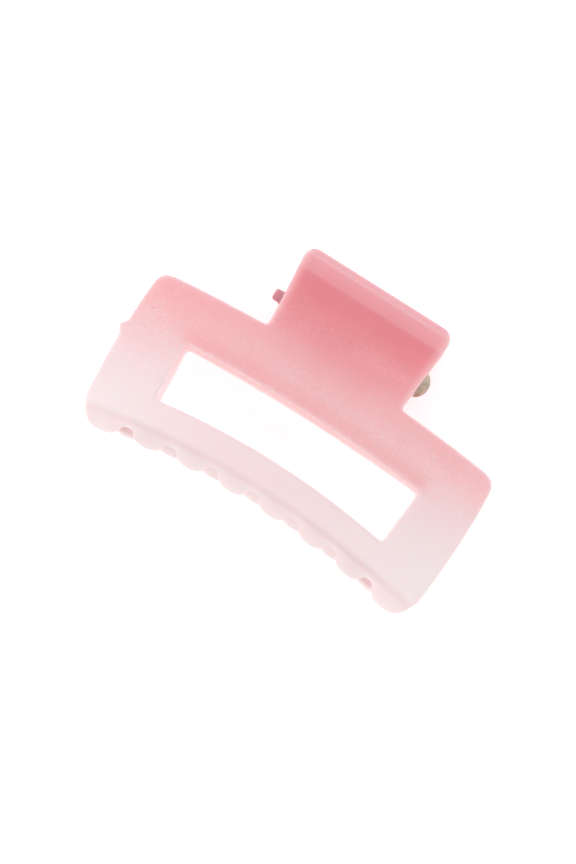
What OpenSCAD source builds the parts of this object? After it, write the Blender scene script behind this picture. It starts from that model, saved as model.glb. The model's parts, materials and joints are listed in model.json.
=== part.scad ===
// Rectangular hair claw clip: two moulded jaws, a steel hinge pin and a torsion spring.
// The clip lies on its rear jaw. X runs along the hinge, Y points to the handles,
// Z points up to the front jaw. The origin is under the middle of the closed clip.

/* [Jaw face] */
// Length of a jaw along the hinge
jaw_len = 88; // [72:1:110]
// Width of the end posts beside the window
post_w = 13.7; // [10:0.1:18]
// Height from the hinge axis down to the top edge of the rail
rail_drop = 7.1; // [5.5:0.1:9]
// Height of the top rail, from its top edge to the window
top_rail_h = 12.4; // [9:0.1:16]
// Height of the window
window_h = 12.5; // [9:0.1:16]
// Height of the bottom rail, from the window to the crease above the teeth
low_rail_h = 6.5; // [4.5:0.1:8]
// How much the window narrows towards the teeth, on each side
window_lean = 1.0; // [0:0.1:2]
// Thickness of the plastic
wall = 2.2; // [1.7:0.1:2.8]

/* [Curves] */
// Distance from the mid plane to the fullest part of a jaw
bulge = 18.5; // [15:0.1:23]
// Distance from the mid plane to the outer face at the hinge
waist = 7.8; // [7:0.1:9.5]
// How far the ends of a jaw curve in towards the mid plane
end_inset = 10; // [6:0.5:12]
// How far the ends of a jaw droop below its middle, at the teeth
end_drop = 5.7; // [3:0.1:8]

/* [Handle] */
// Width of a handle at its base
handle_w = 34.7; // [28:0.1:44]
// How much wider a handle is at its tip
handle_flare_w = 2.7; // [0:0.1:4]
// Height from the hinge axis up to the bend of the thumb lip
handle_h = 7.9; // [6.5:0.1:10]
// Slope of the handle away from the mid plane, in degrees
handle_angle = 46; // [38:1:52]
// Slope of the thumb lip away from the mid plane, in degrees
lip_angle = 58; // [54:1:68]
// Corner radius at the handle's tip
tip_r = 3.2; // [1.5:0.1:4]

/* [Teeth] */
// Distance between two teeth of one jaw
pitch = 10.35; // [8.5:0.05:13]
// Width of the gap between two teeth at their roots
root_gap = 2.4; // [1.8:0.1:3]
// Width of a tooth at its tip
tooth_tip_w = 3.0; // [2.2:0.1:3.8]
// Drop from the crease to the lowest line of the front teeth
tooth_drop = 4.0; // [3.3:0.1:5]
// How much higher the lowest line of the rear teeth is
rear_lift = 0.7; // [0.3:0.1:1.2]
// How far a closed tooth reaches past the mid plane
tooth_reach = 4.3; // [3:0.1:5.5]
// Thickness of a tooth at its tip
tooth_tip_t = 1.4; // [1.1:0.1:1.8]
// Distance behind the crease at which the gaps between the teeth start
gap_start = 4.3; // [2.5:0.1:5]

/* [Hinge] */
// Diameter of the hinge pin
pin_d = 1.8; // [1.4:0.1:2.3]
// Radius of the dome of the pin's head
head_r = 3.6; // [3:0.1:4.4]
// Height of the pin's head
head_h = 2.1; // [1.5:0.1:2.6]
// Diameter of the boss that closes the other end of the pin
boss_d = 2.9; // [2.7:0.1:4]
// Length of that boss
boss_len = 2.4; // [1.6:0.1:3]
// Thickness of a hinge ear along the pin
ear_t = 2.3; // [1.8:0.1:2.9]
// Diameter of a hinge ear
ear_d = 6.6; // [5.4:0.1:8]
// Radial clearance of the pin in the ears that turn on it
turn_fit = 0.06; // [0.04:0.01:0.09]
// Radial clearance of the pin in the ears that hold it
hold_fit = 0.02; // [0.01:0.01:0.04]
// Gap between the faces of neighbouring ears
ear_gap = 0.3; // [0.2:0.05:0.5]

/* [Spring] */
// Diameter of the spring wire
wire_d = 1.2; // [1:0.05:1.5]
// Outside diameter of the coil
coil_d = 7.0; // [6:0.1:8]
// Turns of the coil, an even number so that the legs mirror each other
turns = 6; // [4:2:8]
// Straight length of each leg
leg_len = 11; // [9:0.5:13]

/* [Hidden] */
$fn = 64;
half_len = jaw_len / 2;

// Headings of the outer face in the side view, in degrees from straight down;
// a positive heading runs towards the mid plane on the way down.
crease_heading = 25;
root_heading = 62;
low_heading = 90;

// Radii of the outer face where it bends
handle_bend_r = 6;
lip_bend_r = 1.5;
waist_r = 6.4;
crease_r = wall + 0.6;

// Heights in the side view, measured up from the hinge axis
window_top = -(rail_drop + top_rail_h);
window_low = window_top - window_h;
apex_y = (window_top + window_low) / 2;
crease_y = window_low - low_rail_h;

// The face swells from the waist to the apex in one S made of two arcs
swell_angle = 2 * atan((bulge - waist) / -apex_y);
swell_r = -apex_y / sin(swell_angle) - waist_r;
low_r = (apex_y - crease_y) / sin(crease_heading);
crease_z = bulge - low_r * (1 - cos(crease_heading));
crease_end_z = crease_z - crease_r * (cos(crease_heading) - cos(root_heading));

// The closed clip lies on the rims of the rear window and on the rear lip
rest_z = bulge - low_r * (1 - sqrt(1 - pow(window_h / 2 / low_r, 2)));

function bow(x) = pow(x / half_len, 2);
function ease(t) = let (c = min(1, max(0, t))) c * c * (3 - 2 * c);
function flip(list) = [for (i = [len(list) - 1 : -1 : 0]) list[i]];
function last(list) = list[len(list) - 1];
function arc(c, r, a0, a1, n) =
    [for (i = [0 : n]) let (a = a0 + (a1 - a0) * i / n) c + r * [cos(a), sin(a)]];

// Points [z, y, heading] along a bend that starts at p; a negative radius turns outwards
function bend(p, r, h0, h1, n) =
    [for (i = [1 : n]) let (h = h0 + (h1 - h0) * i / n)
        [p[0] + r * (cos(h) - cos(h0)), p[1] - r * (sin(h) - sin(h0)), h]];

// The handle from the waist up to the tip of the thumb lip
handle_bend = bend([waist, 0], -handle_bend_r, 0, handle_angle, 5);
bend_end = last(handle_bend);
lip_start = [bend_end[0] + (handle_h - bend_end[1]) * tan(handle_angle), handle_h];
lip_bend = bend(lip_start, -lip_bend_r, handle_angle, lip_angle, 3);
lip_run = (rest_z - last(lip_bend)[0]) / tan(lip_angle);
lip_tip = [rest_z, last(lip_bend)[1] + lip_run, lip_angle];
tip_y = lip_tip[1] + wall * sin(lip_angle);
handle_line = concat(handle_bend, [[lip_start[0], lip_start[1], handle_angle]], lip_bend, [lip_tip]);

// The body from the waist down to the crease
swell_out = bend([waist, 0], -waist_r, 0, -swell_angle, 6);
swell_in = bend(last(swell_out), swell_r, -swell_angle, 0, 8);
lower = bend([bulge, apex_y], low_r, 0, crease_heading, 4);
crease_bend = bend([crease_z, crease_y], crease_r, crease_heading, root_heading, 4);
body_line = concat([[waist, 0, 0]], swell_out, swell_in, lower);

// A tooth from the crease to its tip, for a given drop below the crease
function root_drop() = crease_r * (sin(root_heading) - sin(crease_heading));
function tooth_r(drop) = (drop - root_drop()) / (1 - sin(root_heading));
function low_z(drop) = crease_end_z - tooth_r(drop) * cos(root_heading);
function tip_heading(drop) = low_heading + asin((low_z(drop) + tooth_reach) / tooth_r(drop));
function tooth_line(drop) =
    bend([crease_end_z, crease_y - root_drop()], tooth_r(drop), root_heading, tip_heading(drop), 8);

// How far along a tooth a depth lies: 0 at the crease, 1 at the tip
function along_tooth(z) = (crease_z - z) / (crease_z + tooth_reach);

// Stations [z, y, heading, thickness, inset of the ends, droop of the ends]
crease_droop = 0.8;
function body_stations(line) = [for (p = line)
    let (down = max(0, p[1] / crease_y))
        [p[0], p[1], p[2], wall, end_inset * ease(down * 2), end_drop * crease_droop * ease(down)]];
function tooth_stations(line) = [for (p = line)
    let (t = along_tooth(p[0]))
        [p[0], p[1], p[2], wall + (tooth_tip_t - wall) * t, end_inset * (1 - t),
         end_drop * (crease_droop + (1 - crease_droop) * ease(t * 2))]];
function stations(drop) = concat(body_stations(flip(handle_line)), body_stations(body_line),
    tooth_stations(concat(crease_bend, tooth_line(drop))));

// Shell of a jaw before it is trimmed: an outer and an inner grid joined at the rim
columns = 22;
overhang = 2;
function column_x(i) = (half_len + overhang) * (2 * i / columns - 1);
function outer_point(s, x) = [x, s[1] - s[5] * bow(x), s[0] - s[4] * bow(x)];
function inner_point(s, x) = outer_point(s, x) + s[3] * [0, sin(s[2]), -cos(s[2])];

module shell(drop) {
    s = stations(drop);
    rows = len(s);
    row = columns + 1;
    size = rows * row;
    points = concat(
        [for (p = s) for (i = [0 : columns]) outer_point(p, column_x(i))],
        [for (p = s) for (i = [0 : columns]) inner_point(p, column_x(i))]);
    cells = [for (j = [0 : rows - 2]) for (i = [0 : columns - 1]) j * row + i];
    outer_faces = [for (k = cells) each [[k, k + 1, k + row], [k + 1, k + row + 1, k + row]]];
    inner_faces = [for (f = outer_faces) [f[2] + size, f[1] + size, f[0] + size]];
    end_row = (rows - 1) * row;
    rims = concat(
        [for (i = [0 : columns - 1]) [i, i + size, i + 1 + size, i + 1]],
        [for (i = [0 : columns - 1])
            [end_row + i, end_row + i + 1, end_row + i + 1 + size, end_row + i + size]]);
    sides = [for (j = [0 : rows - 2]) let (a = j * row, b = a + row, c = a + columns, d = c + row)
        each [[a, b, b + size, a + size], [c, c + size, d + size, d]]];
    polyhedron(points, concat(outer_faces, inner_faces, rims, sides), convexity = 8);
}

// Face outline: handle, rail and end posts, as seen along Z
top_bow = 2.4;
end_bulge = 1.4;
rail_corner_r = 3.5;
rail_corner_from = 60;
rail_corner_to = 10;
low_corner_r = 5.6;
low_corner_from = -15;
corner_steps = 6;
low_y = crease_y - tooth_drop - end_drop * bow(half_len - low_corner_r);
end_mid = (window_top + apex_y) / 2;
function rail_top(x) = -rail_drop - top_bow * bow(x);
function end_x(y) = half_len - end_bulge * pow((y - end_mid) / (end_mid - low_y), 2);
function handle_half(y) = (handle_w + handle_flare_w * (y + rail_drop) / (tip_y + rail_drop)) / 2;
end_steps = 8;
rail_steps = 6;

function half_outline() = let (
        tip_x = handle_half(tip_y),
        base_x = handle_half(-rail_drop),
        rail_x = end_x(rail_top(half_len)) - rail_corner_r,
        rail_c = [rail_x, rail_top(rail_x) - rail_corner_r],
        low_x = end_x(low_y) - low_corner_r,
        low_c = [low_x, low_y + low_corner_r],
        end_run = low_c[1] - rail_c[1])
    concat(
        [[0, tip_y + 1], [tip_x - tip_r, tip_y + 1]],
        arc([tip_x - tip_r, tip_y - tip_r], tip_r, 90, 0, corner_steps),
        [for (i = [0 : rail_steps]) let (x = base_x + (rail_x - base_x) * i / rail_steps)
            [x, rail_top(x)]],
        arc(rail_c, rail_corner_r, rail_corner_from, rail_corner_to, corner_steps),
        [for (i = [1 : end_steps]) let (y = rail_c[1] + end_run * i / end_steps) [end_x(y), y]],
        arc(low_c, low_corner_r, low_corner_from, -90, corner_steps),
        [[0, low_y]]);

module face_outline() {
    right = half_outline();
    polygon(concat(right, [for (p = flip(right)) if (p[0] > 0) [-p[0], p[1]]]));
}

// Window: a slightly arched rectangle that narrows towards the teeth
window_bow_top = 1.15;
window_bow_low = 2.2;
window_steps = 12;
module window_outline() {
    wide = half_len - post_w;
    narrow = wide - window_lean;
    polygon(concat(
        [for (i = [0 : window_steps]) let (t = 2 * i / window_steps - 1)
            [wide * t, window_top - window_bow_top * t * t]],
        [for (i = [0 : window_steps]) let (t = 1 - 2 * i / window_steps)
            [narrow * t, window_low - window_bow_low * t * t]]));
}

// One gap between two teeth in plan, centred on x, with the tips of its neighbours rounded
module gap_outline(x) {
    tip_half = tooth_tip_w / 2;
    root_half = root_gap / 2;
    top_z = crease_z - gap_start;
    root_z = top_z - end_inset * bow(x) * (1 - along_tooth(top_z)) - root_half;
    tip_z = -tooth_reach + tip_half;
    left = arc([x - pitch / 2, tip_z], tip_half, -90, 0, 6);
    right = arc([x + pitch / 2, tip_z], tip_half, 180, 270, 6);
    floor_z = -tooth_reach - overhang;
    polygon(concat(left, arc([x, root_z], root_half, 180, 0, 10), right,
        [[x + pitch / 2, floor_z], [x - pitch / 2, floor_z]]));
}

// Gaps lie on whole pitches in the front jaw and between them in the rear jaw
stop_w = 2.5;
function gap_places(shift) =
    let (end_gap = half_len - end_bulge - stop_w - pitch / 2, most = ceil(half_len / pitch))
    [for (i = [-most : most]) let (x = (i + shift) * pitch) if (abs(x) <= end_gap) x];

// The gaps are cut from above the inside of the crease down past the lowest line
module tooth_gaps(shift) {
    top = crease_y + wall;
    depth = top - low_y + overhang;
    for (x = gap_places(shift))
        translate([0, top - end_drop * crease_droop * bow(x), 0])
            rotate([90, 0, 0])
                linear_extrude(height = depth)
                    gap_outline(x);
}

// The posts at the ends of both jaws stop each other at the mid plane
stop_gap = 0.1;
module stop_cut(shift) {
    inner_x = last(gap_places(shift));
    for (side = [-1, 1])
        translate([side * (inner_x + half_len + overhang) / 2, crease_y - tooth_drop, stop_gap - bulge])
            cube([half_len + overhang - inner_x, 4 * tooth_drop + 2 * end_drop, 2 * bulge], center = true);
}

module jaw_plate(drop, shift) {
    difference() {
        intersection() {
            shell(drop);
            linear_extrude(height = 3 * bulge, center = true) face_outline();
        }
        linear_extrude(height = 3 * bulge, center = true) window_outline();
        tooth_gaps(shift);
        stop_cut(shift);
    }
}

// Break-off stub of the moulding gate, a wedge on one end face of the front jaw
stub_len = 1.1;
stub_h = 3.2;
stub_t = 1.5;
stub_root = 1;
stub_drop = 2;
module gate_stub() {
    y = end_mid - stub_drop;
    z = bulge - end_inset - wall / 2;
    translate([-half_len, y, z])
        linear_extrude(height = stub_t, center = true)
            polygon([[stub_root, -stub_h / 2], [stub_root, stub_h / 2], [0, stub_h / 2],
                     [-stub_len, stub_h / 3], [-stub_len, 0], [0, -stub_h / 2]]);
}

// A hinge ear whose inner face lies at x = from; it runs out from the pin into the plate
ear_reach = waist - wall / 2;
module ear(from) {
    translate([from, 0, 0])
        rotate([90, 0, 90])
            linear_extrude(height = ear_t) {
                circle(d = ear_d);
                translate([-ear_d / 2, 0]) square([ear_d, ear_reach]);
            }
}

module bore(from, length, d) {
    translate([from, 0, 0]) rotate([0, 90, 0]) cylinder(h = length, d = d);
}

// The rear jaw's ears are outermost, flush with the sides of the handle
outer_ear = handle_half(0) - ear_t;
inner_ear = outer_ear - ear_gap - ear_t;

module front_jaw() {
    color("pink")
        difference() {
            union() {
                jaw_plate(tooth_drop, 0);
                ear(inner_ear);
                ear(-inner_ear - ear_t);
                gate_stub();
            }
            bore(-half_len, jaw_len, pin_d + 2 * turn_fit);
        }
}

boss_end = outer_ear + ear_t + boss_len;
boss_floor = 0.6;
module rear_jaw() {
    color("lightpink")
        difference() {
            union() {
                mirror([0, 0, 1]) jaw_plate(tooth_drop - rear_lift, 0.5);
                mirror([0, 0, 1]) ear(outer_ear);
                mirror([0, 0, 1]) ear(-outer_ear - ear_t);
                bore(-boss_end, boss_len + ear_t / 2, boss_d);
            }
            bore(boss_floor - boss_end, jaw_len, pin_d + 2 * hold_fit);
        }
}

// The pin is turned in one piece: a shaft with a domed head, seated in the boss at its tail
pin_clear = 0.05;
head_x = outer_ear + ear_t + pin_clear;
tail_x = boss_floor - boss_end + pin_clear;
module hinge_pin() {
    neck = head_x - tail_x;
    dome_c = neck + head_h - head_r;
    dome_a = asin((head_r - head_h) / head_r);
    color("silver")
        translate([tail_x, 0, 0])
            rotate([0, 90, 0])
                rotate_extrude()
                    polygon(concat(
                        [[0, 0], [pin_d / 2, 0], [pin_d / 2, neck]],
                        arc([0, dome_c], head_r, dome_a, 90, 10)));
}

// Spring centre line: a leg on the rear handle, the coil, a leg on the front handle.
// Each leg runs off the coil on a tangent and meets its handle from inside.
coil_r = (coil_d - wire_d) / 2;
coil_gap = 0.06;
coil_pitch = wire_d + coil_gap;
wire_sides = 8;
turn_steps = 12;
leg_steps = 4;
leg_gap = 0.15;
plate_offset = (bend_end[0] - wall * cos(handle_angle)) * cos(handle_angle)
    - (bend_end[1] + wall * sin(handle_angle)) * sin(handle_angle);
leg_rise = plate_offset - wire_d / 2 - leg_gap;
leg_angle = handle_angle + asin(leg_rise / sqrt(pow(leg_len, 2) + pow(coil_r, 2)))
    + atan(coil_r / leg_len);

// Angle round the pin, from Y towards Z, where the front leg leaves the coil
front_leave = leg_angle - 90;
coil_turn = 360 * turns + 2 * front_leave;
coil_len = coil_pitch * coil_turn / 360;
coil_steps = ceil(coil_turn / 360 * turn_steps);

function round_pin(a, x) = [x, coil_r * cos(a), coil_r * sin(a)];
function coil_point(t) = round_pin(coil_turn * (t - 0.5), coil_len * (t - 0.5));
function leg_point(side, t) =
    coil_point(side > 0 ? 1 : 0) + leg_len * t * [0, cos(leg_angle), side * sin(leg_angle)];
wire_path = concat(
    [for (i = [leg_steps : -1 : 1]) leg_point(-1, i / leg_steps)],
    [for (i = [0 : coil_steps]) coil_point(i / coil_steps)],
    [for (i = [1 : leg_steps]) leg_point(1, i / leg_steps)]);

function unit(v) = v / norm(v);
function along(path, i) = unit(path[min(i + 1, len(path) - 1)] - path[max(i - 1, 0)]);
function wire_ring(path, i) = let (
        t = along(path, i),
        n = unit(cross(t, [1, 0, 0])),
        b = cross(n, t))
    [for (k = [0 : wire_sides - 1]) let (a = 360 * (k + 0.5) / wire_sides)
        path[i] + wire_d / 2 * (n * cos(a) + b * sin(a))];

module torsion_spring() {
    rings = len(wire_path);
    points = [for (i = [0 : rings - 1]) each wire_ring(wire_path, i)];
    skin = [for (i = [0 : rings - 2]) for (k = [0 : wire_sides - 1])
        let (a = i * wire_sides + k, b = i * wire_sides + (k + 1) % wire_sides)
            each [[a, b, b + wire_sides], [a, b + wire_sides, a + wire_sides]]];
    first = [[for (k = [wire_sides - 1 : -1 : 0]) k]];
    last = [[for (k = [0 : wire_sides - 1]) (rings - 1) * wire_sides + k]];
    color("gray") polyhedron(points, concat(skin, first, last), convexity = 10);
}

// Every piece is drawn about the hinge axis and then set down on the surface
rest_y = -(tip_y + low_y) / 2;
module placed() {
    translate([stub_len / 2, rest_y, rest_z]) children();
}

placed() front_jaw();
placed() rear_jaw();
placed() hinge_pin();
placed() torsion_spring();
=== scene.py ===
"""Claw clip: two frosted ombre jaws, a turned pin and a wire spring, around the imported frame."""

import json
import math

import bpy
import numpy as np
from mathutils import Matrix, Vector


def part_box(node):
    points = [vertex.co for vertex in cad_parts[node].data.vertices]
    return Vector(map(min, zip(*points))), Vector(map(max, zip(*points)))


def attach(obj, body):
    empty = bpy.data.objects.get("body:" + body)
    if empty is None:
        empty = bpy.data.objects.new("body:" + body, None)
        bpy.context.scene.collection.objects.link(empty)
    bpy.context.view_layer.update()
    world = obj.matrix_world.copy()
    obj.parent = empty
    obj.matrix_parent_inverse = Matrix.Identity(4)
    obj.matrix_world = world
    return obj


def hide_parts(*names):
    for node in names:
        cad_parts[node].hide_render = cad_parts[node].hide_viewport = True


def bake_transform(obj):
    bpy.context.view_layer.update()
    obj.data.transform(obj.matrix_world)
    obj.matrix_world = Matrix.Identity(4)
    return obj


MM = 0.001
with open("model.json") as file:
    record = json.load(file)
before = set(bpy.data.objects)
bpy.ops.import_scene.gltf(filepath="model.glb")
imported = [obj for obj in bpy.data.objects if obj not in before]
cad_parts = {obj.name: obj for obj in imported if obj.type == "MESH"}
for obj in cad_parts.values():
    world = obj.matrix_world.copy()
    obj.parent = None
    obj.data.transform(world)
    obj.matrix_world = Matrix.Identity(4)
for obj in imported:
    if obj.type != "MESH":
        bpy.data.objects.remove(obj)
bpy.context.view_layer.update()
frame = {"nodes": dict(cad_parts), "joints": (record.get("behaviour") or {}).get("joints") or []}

# The hinge axis, which every height below is measured from, and the spring's box
HINGE = Vector(frame["joints"][0]["pos_m"])
SPRING_LOW, SPRING_HIGH = (Vector(corner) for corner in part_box("torsion_spring"))
JAW_HALF = 44 * MM


# ---------------------------------------------------------------- camera
# A long lens above the clip, a little past its teeth and towards the pin's head
CAMERA_RISE = 900 * MM
CAMERA_PLACE = (19.5 * MM, -33.0 * MM)
CAMERA_AIM = Vector((-0.5 * MM, -7.6 * MM, 26 * MM))
CAMERA_ROLL = math.radians(32.3)
CAMERA_LENS = 171
CAMERA_SENSOR = 36


def add_camera():
    data = bpy.data.cameras.new("camera")
    data.lens = CAMERA_LENS
    data.sensor_width = CAMERA_SENSOR
    data.clip_start, data.clip_end = 0.01, 10
    camera = bpy.data.objects.new("camera", data)
    bpy.context.scene.collection.objects.link(camera)
    place = Vector((*CAMERA_PLACE, CAMERA_AIM.z + CAMERA_RISE))
    back = (place - CAMERA_AIM).normalized()
    up = Vector((-math.sin(CAMERA_ROLL), math.cos(CAMERA_ROLL), 0))
    right = up.cross(back).normalized()
    turn = Matrix((right, back.cross(right), back)).transposed()
    camera.matrix_world = Matrix.Translation(place) @ turn.to_4x4()
    bpy.context.scene.camera = camera


# ---------------------------------------------------------------- node helpers
def srgb(red, green, blue):
    """Linear colour from 0..255 display values."""
    def linear(value):
        c = value / 255
        return c / 12.92 if c <= 0.04045 else ((c + 0.055) / 1.055) ** 2.4
    return linear(red), linear(green), linear(blue), 1.0


class Nodes:
    """Short calls that build one material's nodes."""

    def __init__(self, name):
        self.material = bpy.data.materials.new(name)
        self.material.use_nodes = True
        self.tree = self.material.node_tree
        self.tree.nodes.clear()
        self.output = self.tree.nodes.new("ShaderNodeOutputMaterial")

    def put(self, socket, value):
        if isinstance(value, bpy.types.NodeSocket):
            self.tree.links.new(value, socket)
        else:
            socket.default_value = value

    def add(self, kind, **inputs):
        node = self.tree.nodes.new("ShaderNode" + kind)
        for name, value in inputs.items():
            self.put(node.inputs[name.replace("_", " ")], value)
        return node

    def math(self, operation, *values, clamp=False):
        node = self.tree.nodes.new("ShaderNodeMath")
        node.operation = operation
        node.use_clamp = clamp
        for socket, value in zip(node.inputs, values):
            self.put(socket, value)
        return node.outputs[0]

    def mix(self, factor, first, second):
        node = self.tree.nodes.new("ShaderNodeMix")
        node.data_type = "RGBA"
        self.put(node.inputs["Factor"], factor)
        self.put(node.inputs[6], first)
        self.put(node.inputs[7], second)
        return node.outputs[2]

    def ramp(self, factor, stops):
        node = self.tree.nodes.new("ShaderNodeValToRGB")
        elements = node.color_ramp.elements
        while len(elements) < len(stops):
            elements.new(0.5)
        for element, (place, colour) in zip(elements, stops):
            element.position = place
            element.color = colour
        self.put(node.inputs[0], factor)
        return node.outputs[0]

    def noise(self, place, scale, detail=2.0, roughness=0.5):
        node = self.add("TexNoise", Vector=place, Scale=scale, Detail=detail, Roughness=roughness)
        return node.outputs[0]

    def bump(self, height, strength, distance, normal=None):
        node = self.add("Bump", Height=height, Strength=strength, Distance=distance)
        if normal is not None:
            self.put(node.inputs["Normal"], normal)
        return node.outputs[0]

    def attribute(self, name, strength):
        """A 0..1 point attribute of the mesh, times strength."""
        node = self.tree.nodes.new("ShaderNodeAttribute")
        node.attribute_name = name
        return self.math("MULTIPLY", node.outputs["Fac"], strength)

    def rise(self, value, start, end):
        """0 before start, 1 after end, straight between; start may be the larger."""
        return self.math("MULTIPLY_ADD", value, 1 / (end - start), -start / (end - start), clamp=True)

    def finish(self, shader):
        self.tree.links.new(shader.outputs[0], self.output.inputs["Surface"])
        return self.material


# ---------------------------------------------------------------- materials
# Dye colours by height above the hinge axis, in millimetres
OMBRE = (
    (-46.0, srgb(249, 237, 238)),
    (-38.0, srgb(249, 236, 237)),
    (-31.0, srgb(249, 232, 233)),
    (-26.0, srgb(252, 227, 229)),
    (-20.0, srgb(252, 217, 219)),
    (-14.0, srgb(251, 202, 205)),
    (-9.0, srgb(250, 192, 196)),
    (-4.0, srgb(247, 187, 192)),
    (1.0, srgb(239, 165, 171)),
    (6.0, srgb(233, 154, 162)),
    (13.0, srgb(233, 157, 166)),
)

# How far the dye line slopes down along the hinge
OMBRE_TILT = 0.085

# Noise that breaks up the dye: scale, detail and roughness, and its share of OMBRE's height
CLOUD_NOISE = (110, 3, 0.5)
CLOUD_SHARE = 0.10
SPRAY_NOISE = (2200, 3, 0.7)
SPRAY_SHARE = 0.42

# How strongly the spray speckles the dye along OMBRE, most where pink fades to white
SPRAY_SPREAD = ((0.0, 0.3), (0.3, 0.8), (0.5, 1.0), (0.68, 0.9), (0.85, 0.3))

# Thumb lip, from its crease to its edge, in heights above the hinge axis; the lip gets a painted light,
# paler where light comes through its single layer of plastic
LIP_CREASE = 7.2 * MM
LIP_STEP = 0.5 * MM
LIP_EDGE = 12.6 * MM
LIP_LIGHT_TINT = srgb(248, 214, 220)
LIP_LIGHT_SHARE = 0.50

# Pinker middle of the bottom rail: it starts and is full at these heights
BLUSH_START = -24 * MM
BLUSH_FULL = -35 * MM
BLUSH_TINT = srgb(236, 196, 199)
BLUSH_SHARE = 0.15

# Tints that the point attributes of a jaw's mesh mix in: painted grey shade on the teeth, painted shade
# above the window and on the boss, a painted highlight on the rims and a glow on the window's rims
TOOTH_SHADE_TINT = srgb(231, 217, 216)
TOOTH_SHADE_SHARE = 0.9
WINDOW_SHADE_TINT = srgb(231, 147, 153)
WINDOW_SHADE_SHARE = 0.35
BOSS_TINT = srgb(216, 152, 159)
# Painted highlight on the rims and on a handle's sides
RIM_LIGHT_TINT = srgb(250, 214, 217)
RIM_LIGHT_SHARE = 0.55
WINDOW_GLOW = srgb(228, 240, 236)
WINDOW_GLOW_STRENGTH = 0.30

# A few dark flecks in the plastic
FLECK_TINT = srgb(188, 120, 130)
FLECK_SHARE = 0.6
FLECK_SCALE = 95.0
FLECK_SIZE = 0.016

# Surface of the plastic: a soft waviness, a fine frost and uneven gloss
WAVE_NOISE = (420, 3)
WAVE_BUMP = (0.10, 0.4 * MM)
FROST_NOISE = (5200, 2)
FROST_BUMP = (0.14, 0.08 * MM)
GLOSS_NOISE = (260, 3)
GLOSS_SPREAD = 0.14
GLOSS_LEAST = 0.42
PLASTIC_IOR = 1.49

# Light carries through the plastic, red furthest
SCATTER = (1.0, 0.75, 0.7)
SCATTER_DEPTH = 2.2 * MM

# Metals: worn, duller patches and a fine grain
WEAR_NOISE = (700, 4, 0.6)
WEAR_DULL = 0.62
WEAR_ROUGH = 0.2
GRAIN_NOISE = (4200, 2)
GRAIN_BUMP = (0.12, 0.06 * MM)
WIRE_TINT = srgb(176, 172, 166)
WIRE_ROUGH = 0.28
NICKEL_TINT = srgb(204, 186, 166)
NICKEL_ROUGH = 0.38


def centred_noise(n, place, noise):
    return n.math("SUBTRACT", n.noise(place, *noise), 0.5)


def dyed_height(n, place):
    """Height above the hinge as a 0..1 position in OMBRE, broken up like a sprayed dye."""
    low, high = OMBRE[0][0] * MM, OMBRE[-1][0] * MM
    axes = n.add("SeparateXYZ", Vector=place).outputs
    tilted = n.math("MULTIPLY_ADD", axes["X"], -OMBRE_TILT, axes["Y"])
    height = n.math("MULTIPLY_ADD", tilted, 1 / (high - low), -(HINGE.y + low) / (high - low))
    spread = n.ramp(height, [(at, (share, share, share, 1)) for at, share in SPRAY_SPREAD])
    spray = n.math("MULTIPLY", centred_noise(n, place, SPRAY_NOISE), spread)
    height = n.math("MULTIPLY_ADD", centred_noise(n, place, CLOUD_NOISE), CLOUD_SHARE, height)
    return n.math("MULTIPLY_ADD", spray, SPRAY_SHARE, height, clamp=True)


def lip_light_share(n, place):
    """How much paler the thumb lip is painted, a painted light: a sharp step at its crease, then a slow
    rise.
    """
    height = n.math("SUBTRACT", n.add("SeparateXYZ", Vector=place).outputs["Y"], HINGE.y)
    step = n.rise(height, LIP_CREASE, LIP_CREASE + LIP_STEP)
    slow = n.rise(height, 2 * LIP_CREASE - LIP_EDGE, LIP_EDGE)
    return n.math("MULTIPLY", n.math("MULTIPLY", step, slow), LIP_LIGHT_SHARE)


def blush_share(n, place):
    """How much pinker the middle of the bottom rail and its teeth are than their ends."""
    axes = n.add("SeparateXYZ", Vector=place).outputs
    across = n.math("MULTIPLY_ADD", axes["X"], 1 / JAW_HALF, -HINGE.x / JAW_HALF)
    middle = n.math("SUBTRACT", 1.0, n.math("MULTIPLY", across, across), clamp=True)
    low = n.rise(axes["Y"], HINGE.y + BLUSH_START, HINGE.y + BLUSH_FULL)
    low_middle = n.math("MULTIPLY", n.math("MULTIPLY", middle, middle), low)
    return n.math("MULTIPLY", low_middle, BLUSH_SHARE)


def fleck_share(n, place):
    cells = n.add("TexVoronoi", Vector=place, Scale=FLECK_SCALE).outputs["Distance"]
    return n.math("MULTIPLY", n.math("LESS_THAN", cells, FLECK_SIZE), FLECK_SHARE)


def plastic_colour(n, place):
    """The dye, then each tint over what lies below it: blush, painted light on the lip, painted shade on
    the teeth, above the window and on the boss, painted highlights on the rims, and flecks.
    """
    low, high = OMBRE[0][0], OMBRE[-1][0]
    stops = [((height - low) / (high - low), colour) for height, colour in OMBRE]
    colour = n.ramp(dyed_height(n, place), stops)
    for share, tint in (
            (blush_share(n, place), BLUSH_TINT),
            (lip_light_share(n, place), LIP_LIGHT_TINT),
            (n.attribute("tooth", TOOTH_SHADE_SHARE), TOOTH_SHADE_TINT),
            (n.attribute("window_shade", WINDOW_SHADE_SHARE), WINDOW_SHADE_TINT),
            (n.attribute("boss", 1.0), BOSS_TINT),
            (n.attribute("rim", RIM_LIGHT_SHARE), RIM_LIGHT_TINT),
            (fleck_share(n, place), FLECK_TINT)):
        colour = n.mix(share, colour, tint)
    return colour


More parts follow.
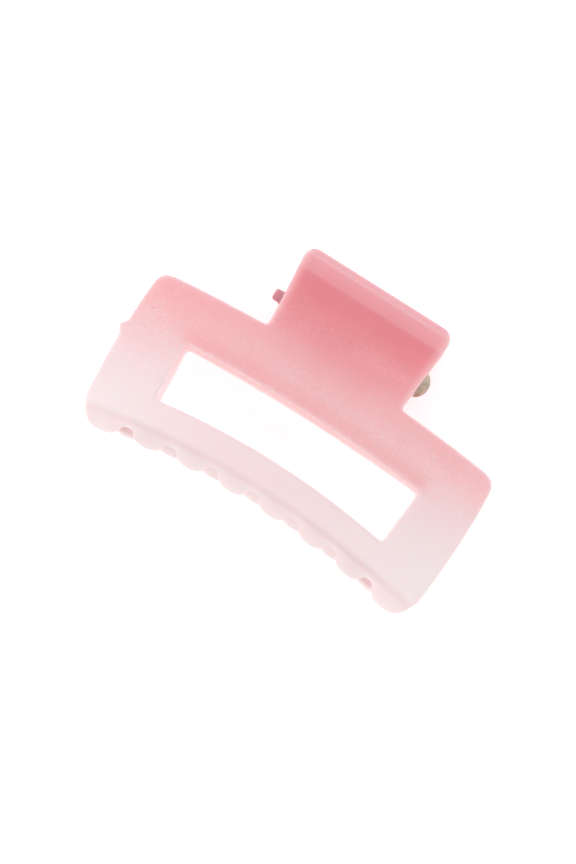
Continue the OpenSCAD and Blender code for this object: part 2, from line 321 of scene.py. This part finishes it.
def frosted_plastic():
    """Translucent dyed plastic with painted light and shade; a jaw's window rims also glow a little."""
    n = Nodes("frosted_ombre_plastic")
    place = n.add("TexCoord").outputs["Object"]
    normal = n.bump(n.noise(place, *WAVE_NOISE), *WAVE_BUMP)
    normal = n.bump(n.noise(place, *FROST_NOISE), *FROST_BUMP, normal)
    rough = n.math("MULTIPLY_ADD", n.noise(place, *GLOSS_NOISE), GLOSS_SPREAD, GLOSS_LEAST)
    shader = n.add("BsdfPrincipled", Base_Color=plastic_colour(n, place), Roughness=rough, Normal=normal)
    n.put(shader.inputs["Emission Strength"], n.attribute("window_glow", WINDOW_GLOW_STRENGTH))
    shader.inputs["Emission Color"].default_value = WINDOW_GLOW
    shader.inputs["IOR"].default_value = PLASTIC_IOR
    shader.inputs["Subsurface Weight"].default_value = 1.0
    shader.inputs["Subsurface Radius"].default_value = SCATTER
    shader.inputs["Subsurface Scale"].default_value = SCATTER_DEPTH
    return n.finish(shader)


def steel(name, colour, roughness):
    n = Nodes(name)
    place = n.add("TexCoord").outputs["Object"]
    wear = n.noise(place, *WEAR_NOISE)
    dull = tuple(WEAR_DULL * c for c in colour[:3]) + (1.0,)
    tint = n.ramp(wear, [(0.32, dull), (0.68, colour)])
    rough = n.math("MULTIPLY_ADD", wear, WEAR_ROUGH, roughness)
    normal = n.bump(n.noise(place, *GRAIN_NOISE), *GRAIN_BUMP)
    shader = n.add("BsdfPrincipled", Base_Color=tint, Roughness=rough, Normal=normal)
    shader.inputs["Metallic"].default_value = 1.0
    return n.finish(shader)


# ---------------------------------------------------------------- mesh helpers
def added(name, mesh, material):
    """A smooth-shaded object made of mesh, with one material."""
    mesh.materials.clear()
    mesh.materials.append(material)
    mesh.shade_smooth()
    obj = bpy.data.objects.new(name, mesh)
    bpy.context.scene.collection.objects.link(obj)
    return obj


def neighbour_mean(points, edges):
    """For each point, the mean of the points that an edge joins to it."""
    count = np.bincount(edges.ravel(), minlength=len(points))[:, None]
    total = np.empty_like(points)
    for axis in range(3):
        value = points[:, axis]
        total[:, axis] = (np.bincount(edges[:, 0], value[edges[:, 1]], len(points))
                          + np.bincount(edges[:, 1], value[edges[:, 0]], len(points)))
    return total / count


def relaxed(points, edges, steps, weight=1.0):
    for _ in range(steps):
        points = points + 0.5 * weight * (neighbour_mean(points, edges) - points)
    return points


def eased(value, start, end):
    """0 before start, 1 after end, smooth between; start may be the larger."""
    t = np.clip((value - start) / (end - start), 0, 1)
    return t * t * (3 - 2 * t)


# ---------------------------------------------------------------- jaws
# Quads of one size, smoothed to round the edges but not the pin's bores
VOXEL = 0.32 * MM
WELD = 0.001 * MM
EDGE_STEPS = 14
BORE_KEEP = 1.9 * MM

# Painted highlight: edges that more smoothing would sink this far are fully pale, those of the lip less
# so
RIM_STEPS = 30
RIM_DEPTH = 0.30 * MM
LIP_RIM = 0.15
LIP_RIM_FADE = 2 * MM

# Heights of the crease above the teeth and of the scalloped line, and how far both droop at the ends
CREASE_Y = -38.5 * MM
TOOTH_LOW_Y = -41.1 * MM
CREASE_DROOP = 4.6 * MM
TOOTH_DROOP = 5.7 * MM
TOOTH_PITCH = 10.35 * MM
SCALLOP = 0.75 * MM
SCALLOP_END = 37 * MM
SCALLOP_FADE = 3 * MM

# Heights between which the teeth get their painted grey shade, and the X where this fades at a jaw's
# ends
TOOTH_SHADE_HEIGHTS = (CREASE_Y + 1.2 * MM, CREASE_Y - 0.6 * MM)
TOOTH_SHADE_ENDS = (27 * MM, 38 * MM)
TOOTH_SHADE_LOSS = 0.5

# Height and half width of a handle at its base and tip, and how far its sides glow
HANDLE_BASE = (-7.1 * MM, 17.35 * MM)
HANDLE_TIP = (12.6 * MM, 18.7 * MM)
SIDE_GLOW = 2.4 * MM
SIDE_GLOW_FADE = 4 * MM

# The boss that closes the pin's hole: where it starts, and the radii of its shade's edge
BOSS_START = 17.95 * MM
BOSS_EDGE = (2.2 * MM, 1.6 * MM)

# Window: half width, heights of its two long edges at the middle, and how far they bow
WINDOW_HALF = 29.8 * MM
WINDOW_TOP = -19.5 * MM
WINDOW_LOW = -32.0 * MM
WINDOW_BOW_TOP = 1.15 * MM
WINDOW_BOW_LOW = 2.2 * MM

# Shade above a window, by height over it and by X; glow of its rim, by distance and by slope
SHADE_HEIGHTS = (6 * MM, 1.2 * MM)
SHADE_ENDS = (33 * MM, 29 * MM)
GLOW_REACH = (2.6 * MM, 0.6 * MM)
GLOW_SLOPE = (0.55, 0.15)


def remeshed(node):
    """The node's mesh as even quads, still in the row frame."""
    work = bpy.data.objects.new(node + "_work", frame["nodes"][node].data.copy())
    bpy.context.scene.collection.objects.link(work)
    weld = work.modifiers.new("weld", "WELD")
    weld.merge_threshold = WELD
    remesh = work.modifiers.new("remesh", "REMESH")
    remesh.mode = "VOXEL"
    remesh.voxel_size = VOXEL
    depsgraph = bpy.context.evaluated_depsgraph_get()
    mesh = bpy.data.meshes.new_from_object(work.evaluated_get(depsgraph))
    bpy.data.objects.remove(work)
    return mesh


def rows(items, name, width, kind=float):
    """One property of a mesh's points or edges, as an array with one row for each."""
    values = np.empty(len(items) * width, dtype=kind)
    items.foreach_get(name, values)
    return values.reshape(-1, width)


def from_hinge(points):
    """X and Y distances of the points from the middle of the hinge."""
    return points[:, 0] - HINGE.x, points[:, 1] - HINGE.y


def from_axis(points):
    return np.hypot(points[:, 1] - HINGE.y, points[:, 2] - HINGE.z)


def scalloped(points, gap_phase):
    """Round the row of teeth: each tooth's edge rises towards the gaps beside it."""
    x, y = from_hinge(points)
    wave = (1 + np.cos(2 * math.pi * (x / TOOTH_PITCH - gap_phase))) / 2
    zone = eased(y + TOOTH_DROOP * (x / JAW_HALF) ** 2, CREASE_Y, TOOTH_LOW_Y)
    fade = eased(np.abs(x), SCALLOP_END + SCALLOP_FADE, SCALLOP_END)
    points[:, 1] += SCALLOP * wave * zone * fade
    return points


def side_glow(points):
    """0..1 towards the two sides of a handle, where light leaks round the edge."""
    x, y = from_hinge(points)
    base, tip = HANDLE_BASE[0], HANDLE_TIP[0]
    half = np.interp(y, (base, tip), (HANDLE_BASE[1], HANDLE_TIP[1]))
    return eased(np.abs(x), half - SIDE_GLOW, half) * eased(y, base, base + SIDE_GLOW_FADE)


def boss_shade(points):
    """1 on the boss that closes the pin's hole, which stays in the shade of the handle."""
    return (points[:, 0] < HINGE.x - BOSS_START) * eased(from_axis(points), *BOSS_EDGE)


def rim_light(points, sunk):
    """0..1 painted highlight on the edges that smoothing would sink, faint on the lip, and on a handle's
    sides.
    """
    below_lip = eased(points[:, 1] - HINGE.y, LIP_CREASE + LIP_RIM_FADE, LIP_CREASE)
    edges = sunk / RIM_DEPTH * (LIP_RIM + (1 - LIP_RIM) * below_lip)
    return np.clip(np.maximum(edges, side_glow(points)), 0, 1) * (1 - boss_shade(points))


def tooth_shade(points):
    """0..1 below the crease, where the teeth get a painted grey shade, less so at the ends."""
    x, y = from_hinge(points)
    share = eased(y + CREASE_DROOP * (x / JAW_HALF) ** 2, *TOOTH_SHADE_HEIGHTS)
    return share * (1 - TOOTH_SHADE_LOSS * eased(np.abs(x), *TOOTH_SHADE_ENDS))


def window_shade(points):
    """0..1 on the rail just above its window, where the other jaw darkens it from behind."""
    x, y = from_hinge(points)
    above = y - WINDOW_TOP + WINDOW_BOW_TOP * (x / WINDOW_HALF) ** 2
    return eased(above, *SHADE_HEIGHTS) * (above > 0) * eased(np.abs(x), *SHADE_ENDS)


def window_glow(points, normals, out):
    """0..1 on the sides and the back of a window's rim, lit through the other window."""
    x, y = from_hinge(points)
    bow = (x / WINDOW_HALF) ** 2
    beyond = np.maximum.reduce([np.abs(x) - WINDOW_HALF, y - WINDOW_TOP + WINDOW_BOW_TOP * bow,
                                WINDOW_LOW - WINDOW_BOW_LOW * bow - y])
    return eased(beyond, *GLOW_REACH) * eased(normals[:, 2] * out, *GLOW_SLOPE)


def shade(mesh, points, edges, out):
    """Store the point attributes of painted shade, highlight and glow that the plastic reads; out is +1
    where the jaw faces up.
    """
    normals = rows(mesh.vertices, "normal", 3)
    sunk = np.einsum("ij,ij->i", points - relaxed(points, edges, RIM_STEPS), normals)
    layers = {
        "rim": rim_light(points, sunk),
        "tooth": tooth_shade(points),
        "boss": boss_shade(points),
        "window_shade": window_shade(points),
        "window_glow": window_glow(points, normals, out),
    }
    for layer, values in layers.items():
        mesh.attributes.new(layer, "FLOAT", "POINT").data.foreach_set("value", values)


def moulded(node, name, material, gap_phase, out):
    """The node with the rounded edges and crowned teeth of a moulding, and its painted highlights and
    shade.
    """
    mesh = remeshed(node)
    points = rows(mesh.vertices, "co", 3)
    edges = rows(mesh.edges, "vertices", 2, np.int32)
    weight = eased(from_axis(points), BORE_KEEP / 2, BORE_KEEP)[:, None]
    points = scalloped(relaxed(points, edges, EDGE_STEPS, weight), gap_phase)
    mesh.vertices.foreach_set("co", points.ravel())
    mesh.update()
    shade(mesh, points, edges, out)
    return added(name, mesh, material)


# ---------------------------------------------------------------- spring
# Round wire, its coil, and the slope of the straight legs from the Y axis at rest
WIRE_R = 0.6 * MM
COIL_R = 2.9 * MM
COIL_TURNS = 6
LEG_LEN = 11 * MM
LEG_SLOPE = math.radians(63.976)
TURN_STEPS = 40
LEG_STEPS = 10
WIRE_SIDES = 20
WIRE_END_ANGLES = (0.5, 1.0, 1.4)


def spring_path():
    """The coil round the hinge axis and a tangent leg to each handle, rear leg first."""
    half = (SPRING_HIGH.x - SPRING_LOW.x) / 2 - WIRE_R
    turn = 2 * math.pi * COIL_TURNS + 2 * LEG_SLOPE - math.pi
    steps = round(turn / (2 * math.pi) * TURN_STEPS)
    coil = []
    for i in range(steps + 1):
        t = i / steps - 0.5
        spoke = COIL_R * math.cos(turn * t), COIL_R * math.sin(turn * t)
        coil.append(HINGE + Vector((2 * half * t, *spoke)))

    def leg(side, start):
        run = LEG_LEN / LEG_STEPS * Vector((0, math.cos(LEG_SLOPE), side * math.sin(LEG_SLOPE)))
        return [start + run * (i + 1) for i in range(LEG_STEPS)]
    return leg(-1, coil[0])[::-1] + coil + leg(1, coil[-1])


def tube(path, radius, sides):
    """A closed round tube along path, its ends rounded off."""
    rings = []
    for i, place in enumerate(path):
        ahead = (path[min(i + 1, len(path) - 1)] - path[max(i - 1, 0)]).normalized()
        side = ahead.cross(Vector((1, 0, 0))).normalized()
        rings.append((place, side, side.cross(ahead), radius))
    bevel = [(radius * 0.5 * math.sin(a), radius * math.cos(a)) for a in WIRE_END_ANGLES]
    first, last = rings[0], rings[-1]
    out_first = (path[0] - path[1]).normalized()
    out_last = (path[-1] - path[-2]).normalized()
    rings = ([(first[0] + out_first * s, first[1], first[2], r) for s, r in reversed(bevel)] + rings
             + [(last[0] + out_last * s, last[1], last[2], r) for s, r in bevel])
    verts = []
    for place, side, other, r in rings:
        for k in range(sides):
            a = 2 * math.pi * k / sides
            verts.append(place + r * (side * math.cos(a) + other * math.sin(a)))
    end = (len(rings) - 1) * sides
    faces = [tuple(range(sides)), tuple(end + k for k in reversed(range(sides)))]
    for i in range(len(rings) - 1):
        for k in range(sides):
            a, b = i * sides + k, i * sides + (k + 1) % sides
            faces.append((a, a + sides, b + sides, b))
    mesh = bpy.data.meshes.new("tube")
    mesh.from_pydata(verts, [], faces)
    return mesh


# ---------------------------------------------------------------- build
def add_jaws(material):
    for body, node, gap_phase, out in (("front", "front_jaw", 0, 1), ("rear", "rear_jaw", 0.5, -1)):
        jaw = moulded(node, node + "_moulding", material, gap_phase, out)
        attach(jaw, body)
        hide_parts(node)


def add_spring(material):
    spring = added("spring_wire", tube(spring_path(), WIRE_R, WIRE_SIDES), material)
    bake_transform(spring)
    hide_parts("torsion_spring")


def finish_pin(material):
    """The pin keeps its CAD body and gets its own metal."""
    pin = frame["nodes"]["hinge_pin"]
    pin.data.materials.clear()
    pin.data.materials.append(material)
    pin.data.shade_smooth()


add_camera()
add_jaws(frosted_plastic())
add_spring(steel("spring_wire", WIRE_TINT, WIRE_ROUGH))
finish_pin(steel("dull_nickel", NICKEL_TINT, NICKEL_ROUGH))


# ---------------------------------------------------------------- stage and light
FLOOR_HALF = 3
FLOOR_GLOW = 0.45
KEY_PLACE = (-0.6, -0.2, 1.0)
KEY_SIZE = 0.9
KEY_POWER = 2
WORLD_STRENGTH = 0.80


def add_floor():
    """A pale table that glows a little, like a light table."""
    mesh = bpy.data.meshes.new("floor")
    r = FLOOR_HALF
    mesh.from_pydata([(-r, -r, 0), (r, -r, 0), (r, r, 0), (-r, r, 0)], [], [(0, 1, 2, 3)])
    n = Nodes("pale_floor")
    place = n.add("TexCoord").outputs["Object"]
    tone = n.ramp(n.noise(place, 3, 2), [(0.3, srgb(238, 238, 238)), (0.7, srgb(242, 242, 242))])
    shader = n.add("BsdfPrincipled", Base_Color=tone, Roughness=0.9)
    shader.inputs["Emission Color"].default_value = (1, 1, 1, 1)
    shader.inputs["Emission Strength"].default_value = FLOOR_GLOW
    added("floor", mesh, n.finish(shader))


def area_light(name, place, aim, size, power):
    data = bpy.data.lights.new(name, "AREA")
    data.shape = "DISK"
    data.size = size
    data.energy = power
    lamp = bpy.data.objects.new(name, data)
    bpy.context.scene.collection.objects.link(lamp)
    turn = (Vector(place) - Vector(aim)).to_track_quat("Z", "Y")
    lamp.matrix_world = Matrix.Translation(place) @ turn.to_matrix().to_4x4()


def add_world(strength):
    world = bpy.data.worlds.new("studio")
    world.use_nodes = True
    background = world.node_tree.nodes["Background"]
    background.inputs["Color"].default_value = (1, 1, 1, 1)
    background.inputs["Strength"].default_value = strength
    bpy.context.scene.world = world


add_floor()
area_light("key", KEY_PLACE, (0, 0, 0), KEY_SIZE, KEY_POWER)
add_world(WORLD_STRENGTH)
bpy.context.scene.view_settings.view_transform = "Standard"
